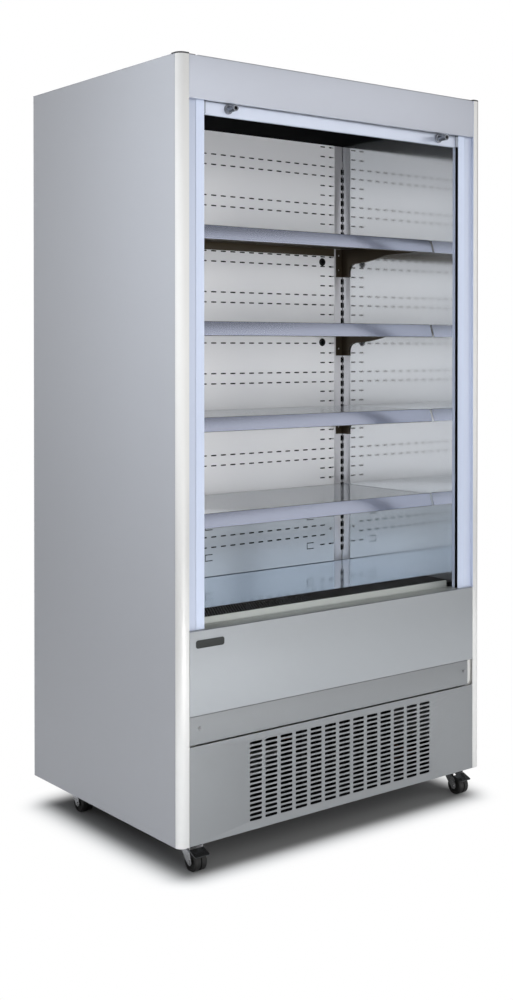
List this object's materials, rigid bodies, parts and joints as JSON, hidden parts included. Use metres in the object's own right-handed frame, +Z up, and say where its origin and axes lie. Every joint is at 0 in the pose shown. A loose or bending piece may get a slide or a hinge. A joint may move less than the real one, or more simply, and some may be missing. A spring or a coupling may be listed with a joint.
{
  "type": "open multideck display fridge",
  "caption": "Tall open-fronted refrigerated display cabinet on casters, with inclined-rail shelves, slotted lower panel, night blind and working casters.",
  "frame": {"origin": "on the floor, at the middle of the overall box", "axes": "+X to the right seen from the front, +Y from the open front to the back, +Z up"},
  "size_m": [1.05, 0.738, 1.994],
  "materials": {
    "satin_steel": "satin",
    "polished_steel": "polished",
    "shelf_steel": "satin",
    "galvanised": "zinc plated",
    "black_plastic": "matt",
    "foam": "foamed",
    "aluminium": "anodised",
    "bright_metal": "bright",
    "blind_cloth": "woven",
    "motor_metal": "satin",
    "copper": "bright drawn copper",
    "wheel_rubber": "matt"
  },
  "bodies": {
    "cabinet": {"air_discharge_grille": "black_plastic", "apron": "satin_steel", "back_panel": "satin_steel", "base_pan": "galvanised", "blind_fabric": "blind_cloth", "blind_guides": "aluminium", "cable_grommets": "black_plastic", "caster_plates": "galvanised", "ceiling_panel": "polished_steel", "compressor": "motor_metal", "condenser_coil": "aluminium", "condenser_fan_motor": "motor_metal", "control_box": "black_plastic", "corner_posts": "satin_steel", "deck_plate": "polished_steel", "drain_tray": "black_plastic", "evaporator_coil": "aluminium", "evaporator_fan_motors": "motor_metal", "evaporator_fan_plate": "polished_steel", "fan_shroud": "galvanised", "fascia": "satin_steel", "front_lip": "satin_steel", "inner_liner": "polished_steel", "insulation": "foam", "lower_back_panel": "polished_steel", "mains_inlet": "black_plastic", "panel_screws": "bright_metal", "post_caps": "black_plastic", "rear_air_panel": "polished_steel", "refrigerant_pipes": "copper", "return_grille": "black_plastic", "roller_brackets": "galvanised", "roof_panel": "satin_steel", "screw_strip": "satin_steel", "shelf_brackets": "shelf_steel", "side_liners": "polished_steel", "side_panels": "satin_steel", "slotted_uprights": "polished_steel", "vent_panel": "satin_steel"},
    "blind_bar": {"blind_bar": "aluminium", "blind_sliders": "black_plastic", "blind_knobs": "bright_metal"},
    "blind_roller": {"blind_roller": "blind_cloth"},
    "condenser_fan": {"condenser_fan": "black_plastic"},
    "evaporator_fan_left": {"evaporator_fan_left": "black_plastic"},
    "evaporator_fan_right": {"evaporator_fan_right": "black_plastic"},
    "shelf_1": {"shelf_1": "shelf_steel"},
    "shelf_2": {"shelf_2": "shelf_steel"},
    "shelf_3": {"shelf_3": "shelf_steel"},
    "shelf_4": {"shelf_4": "shelf_steel"},
    "caster_fork_front_left": {"caster_fork_front_left": "galvanised"},
    "caster_wheel_front_left": {"caster_wheel_front_left": "wheel_rubber"},
    "caster_fork_front_right": {"caster_fork_front_right": "galvanised"},
    "caster_wheel_front_right": {"caster_wheel_front_right": "wheel_rubber"},
    "caster_fork_rear_left": {"caster_fork_rear_left": "galvanised"},
    "caster_wheel_rear_left": {"caster_wheel_rear_left": "wheel_rubber"},
    "caster_fork_rear_right": {"caster_fork_rear_right": "galvanised"},
    "caster_wheel_rear_right": {"caster_wheel_rear_right": "wheel_rubber"},
    "brake_pedal_front_left": {"brake_pedal_front_left": "galvanised"},
    "brake_pedal_front_right": {"brake_pedal_front_right": "galvanised"}
  },
  "joints": [
    {"name": "blind_pull", "type": "slide", "parent": "cabinet", "child": "blind_bar", "axis": [0, 0, -1], "range_m": [0, 1.25], "stiffness_N_per_m": 6, "springref_m": -1, "deforming": ["blind_fabric"]},
    {"name": "blind_roll", "type": "hinge", "parent": "cabinet", "child": "blind_roller", "pos_m": [0, -0.31155, 1.937], "axis": [1, 0, 0], "range_deg": [0, 4000]},
    {"name": "condenser_fan_spin", "type": "hinge", "parent": "cabinet", "child": "condenser_fan", "pos_m": [0.11, -0.163, 0.214], "axis": [0, 1, 0], "continuous": true},
    {"name": "evaporator_fan_left_spin", "type": "hinge", "parent": "cabinet", "child": "evaporator_fan_left", "pos_m": [-0.215, -0.111, 0.52], "axis": [0, 1, 0], "continuous": true},
    {"name": "evaporator_fan_right_spin", "type": "hinge", "parent": "cabinet", "child": "evaporator_fan_right", "pos_m": [0.215, -0.111, 0.52], "axis": [0, 1, 0], "continuous": true},
    {"name": "shelf_1_lift", "type": "slide", "parent": "cabinet", "child": "shelf_1", "axis": [0, 0, 1], "range_m": [0, 0.03]},
    {"name": "shelf_2_lift", "type": "slide", "parent": "cabinet", "child": "shelf_2", "axis": [0, 0, 1], "range_m": [0, 0.03]},
    {"name": "shelf_3_lift", "type": "slide", "parent": "cabinet", "child": "shelf_3", "axis": [0, 0, 1], "range_m": [0, 0.03]},
    {"name": "shelf_4_lift", "type": "slide", "parent": "cabinet", "child": "shelf_4", "axis": [0, 0, 1], "range_m": [0, 0.03]},
    {"name": "caster_front_left_swivel", "type": "hinge", "parent": "cabinet", "child": "caster_fork_front_left", "pos_m": [-0.446, -0.285, 0.06], "axis": [0, 0, 1], "continuous": true},
    {"name": "caster_front_left_roll", "type": "hinge", "parent": "caster_fork_front_left", "child": "caster_wheel_front_left", "pos_m": [-0.446, -0.307, 0.025], "axis": [1, 0, 0], "continuous": true},
    {"name": "caster_front_right_swivel", "type": "hinge", "parent": "cabinet", "child": "caster_fork_front_right", "pos_m": [0.482, -0.285, 0.06], "axis": [0, 0, 1], "continuous": true},
    {"name": "caster_front_right_roll", "type": "hinge", "parent": "caster_fork_front_right", "child": "caster_wheel_front_right", "pos_m": [0.482, -0.307, 0.025], "axis": [1, 0, 0], "continuous": true},
    {"name": "caster_rear_left_swivel", "type": "hinge", "parent": "cabinet", "child": "caster_fork_rear_left", "pos_m": [-0.446, 0.252, 0.06], "axis": [0, 0, 1], "continuous": true},
    {"name": "caster_rear_left_roll", "type": "hinge", "parent": "caster_fork_rear_left", "child": "caster_wheel_rear_left", "pos_m": [-0.446, 0.23, 0.025], "axis": [1, 0, 0], "continuous": true},
    {"name": "caster_rear_right_swivel", "type": "hinge", "parent": "cabinet", "child": "caster_fork_rear_right", "pos_m": [0.482, 0.252, 0.06], "axis": [0, 0, 1], "continuous": true},
    {"name": "caster_rear_right_roll", "type": "hinge", "parent": "caster_fork_rear_right", "child": "caster_wheel_rear_right", "pos_m": [0.482, 0.23, 0.025], "axis": [1, 0, 0], "continuous": true},
    {"name": "brake_front_left_press", "type": "hinge", "parent": "caster_fork_front_left", "child": "brake_pedal_front_left", "pos_m": [-0.446, -0.299, 0.0575], "axis": [1, 0, 0], "range_deg": [0, 3.5]},
    {"name": "brake_front_right_press", "type": "hinge", "parent": "caster_fork_front_right", "child": "brake_pedal_front_right", "pos_m": [0.482, -0.299, 0.0575], "axis": [1, 0, 0], "range_deg": [0, 3.5]}
  ],
  "couplings": [
    {"joint": "blind_roll", "follows": "blind_pull", "rad_per_m": 55.556}
  ]
}
